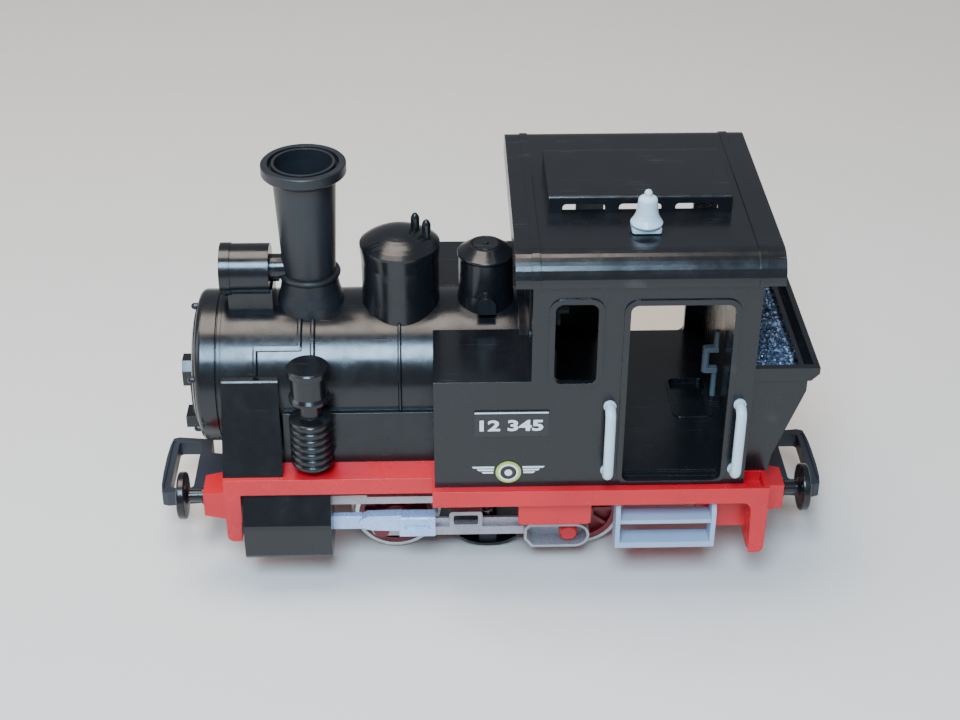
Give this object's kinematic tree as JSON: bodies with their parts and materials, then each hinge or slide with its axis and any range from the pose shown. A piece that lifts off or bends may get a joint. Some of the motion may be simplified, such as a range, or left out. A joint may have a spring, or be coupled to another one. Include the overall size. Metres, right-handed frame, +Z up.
{
  "type": "toy tank locomotive",
  "caption": "Large-scale toy 0-4-0 tank locomotive with turning wheels, coupling rods, worm drive, swinging couplers and a cab roof that lifts off.",
  "frame": {"origin": "midway between the coupler tips, on the centre line, at the height of the wheel flanges' lowest points", "axes": "+X towards the bunker (rear), -X towards the chimney (front), +Y towards the locomotive's right side, +Z up"},
  "size_m": [0.303, 0.1376, 0.1889],
  "materials": {
    "body_black": "moulded gloss black",
    "chimney_black": "satin black with fine level rings",
    "frame_red": "moulded semi-gloss red",
    "wheel_red": "dark red",
    "rod_grey": "grey with a metallic sheen",
    "crosshead_silver": "silvery blue grey",
    "rail_white": "pale grey white",
    "step_grey": "light grey",
    "lever_grey": "mid grey",
    "coupler_black": "dark grey black",
    "tyre_metal": "plated, slightly dull",
    "steel": "bright steel",
    "bronze": "sintered bronze",
    "motor_black": "matt black",
    "motor_steel": "drawn steel can",
    "ballast_iron": "bare cast metal",
    "board_green": "circuit board",
    "coal": "glittering dark lumps",
    "lens_clear": "clear",
    "bulb_glass": "clear with a warm tint",
    "plate_black": "black with white edging",
    "emblem_colour": "printed disc and stripes",
    "shoe_dark": "blackened metal",
    "winding": "copper windings on a laminated core"
  },
  "bodies": {
    "chassis": {"main_frame": "frame_red", "front_buffers": "body_black", "rear_buffers": "body_black", "coupler_pins": "steel", "cylinder_left": "body_black", "cylinder_right": "body_black", "slide_bars": "rod_grey", "motor_block": "motor_black", "block_cover": "motor_black", "motor_can": "motor_steel", "pickup_spring_left": "steel", "pickup_spring_right": "steel", "axle_bushes": "bronze", "cover_screws": "steel", "ballast_weight": "ballast_iron", "contact_board": "board_green", "boiler_shell": "body_black", "smokebox_front": "body_black", "side_box_left": "body_black", "side_box_right": "body_black", "chimney_base": "chimney_black", "chimney_tube": "chimney_black", "steam_dome": "body_black", "safety_valves": "body_black", "sand_dome": "body_black", "headlamp": "body_black", "headlamp_lens": "lens_clear", "lamp_bulb": "bulb_glass", "air_pump": "body_black", "cab_shell": "body_black", "cab_floor": "body_black", "backhead": "motor_black", "handrails": "rail_white", "number_plates": "plate_black", "emblems": "emblem_colour", "bunker": "body_black", "coal_load": "coal", "steps_left": "step_grey", "steps_right": "step_grey"},
    "roof": {"cab_roof": "body_black", "roof_hatch": "body_black", "bell": "rail_white"},
    "front_coupler": {"front_coupler": "coupler_black"},
    "rear_coupler": {"rear_coupler": "coupler_black"},
    "armature": {"armature": "winding"},
    "pickup_left": {"pickup_shoe_left": "shoe_dark"},
    "pickup_right": {"pickup_shoe_right": "shoe_dark"},
    "regulator": {"regulator_lever": "lever_grey"},
    "brake_handle": {"brake_crank": "lever_grey"},
    "front_wheelset": {"front_wheels": "wheel_red", "front_tyres": "tyre_metal", "front_axle": "steel"},
    "rear_wheelset": {"rear_wheels": "wheel_red", "rear_tyres": "tyre_metal", "rear_axle": "steel", "crank_caps": "frame_red"},
    "rod_left": {"rod_left": "rod_grey"},
    "rod_right": {"rod_right": "rod_grey"},
    "crosshead_left": {"crosshead_left": "crosshead_silver"},
    "crosshead_right": {"crosshead_right": "crosshead_silver"}
  },
  "joints": [
    {"name": "front_wheel_spin", "type": "hinge", "parent": "chassis", "child": "front_wheelset", "pos_m": [-0.044, 0, 0.0206], "axis": [0, -1, 0], "continuous": true},
    {"name": "rear_wheel_spin", "type": "hinge", "parent": "chassis", "child": "rear_wheelset", "pos_m": [0.04, 0, 0.0206], "axis": [0, -1, 0], "continuous": true},
    {"name": "rod_left_pin", "type": "hinge", "parent": "front_wheelset", "child": "rod_left", "pos_m": [-0.05033, -0.03475, 0.01914], "axis": [0, -1, 0], "continuous": true},
    {"name": "rod_right_pin", "type": "hinge", "parent": "front_wheelset", "child": "rod_right", "pos_m": [-0.04254, 0.03475, 0.01427], "axis": [0, -1, 0], "continuous": true},
    {"name": "armature_spin", "type": "hinge", "parent": "chassis", "child": "armature", "pos_m": [-0.002, 0, 0.0328], "axis": [-1, 0, 0], "continuous": true},
    {"name": "crosshead_left_slide", "type": "slide", "parent": "chassis", "child": "crosshead_left", "axis": [1, 0, 0], "range_m": [-0.0001, 0.0128]},
    {"name": "crosshead_right_slide", "type": "slide", "parent": "chassis", "child": "crosshead_right", "axis": [1, 0, 0], "range_m": [-0.0079, 0.005]},
    {"name": "front_coupler_swing", "type": "hinge", "parent": "chassis", "child": "front_coupler", "pos_m": [-0.104, 0, 0.0264], "axis": [0, 0, 1], "range_deg": [-12, 12], "stiffness_Nm_per_rad": 0.02},
    {"name": "rear_coupler_swing", "type": "hinge", "parent": "chassis", "child": "rear_coupler", "pos_m": [0.104, 0, 0.0264], "axis": [0, 0, 1], "range_deg": [-12, 12], "stiffness_Nm_per_rad": 0.02},
    {"name": "roof_lift", "type": "slide", "parent": "chassis", "child": "roof", "axis": [0, 0, 1], "range_m": [0, 0.04]},
    {"name": "pickup_left_travel", "type": "slide", "parent": "chassis", "child": "pickup_left", "axis": [0, 0, 1], "range_m": [0, 0.002], "stiffness_N_per_m": 150, "springref_m": -0.004, "deforming": ["pickup_spring_left"]},
    {"name": "pickup_right_travel", "type": "slide", "parent": "chassis", "child": "pickup_right", "axis": [0, 0, 1], "range_m": [0, 0.002], "stiffness_N_per_m": 150, "springref_m": -0.004, "deforming": ["pickup_spring_right"]},
    {"name": "regulator_turn", "type": "hinge", "parent": "chassis", "child": "regulator", "pos_m": [0.0255, 0, 0.106], "axis": [1, 0, 0], "range_deg": [-30, 60]},
    {"name": "brake_turn", "type": "hinge", "parent": "chassis", "child": "brake_handle", "pos_m": [0.1013, 0.002, 0.07], "axis": [0, 0, 1], "range_deg": [-90, 90]}
  ],
  "couplings": [
    {"joint": "rear_wheel_spin", "follows": "front_wheel_spin", "ratio": 1},
    {"joint": "rod_left_pin", "follows": "front_wheel_spin", "ratio": -1},
    {"joint": "rod_right_pin", "follows": "front_wheel_spin", "ratio": -1},
    {"joint": "armature_spin", "follows": "front_wheel_spin", "ratio": 20}
  ]
}
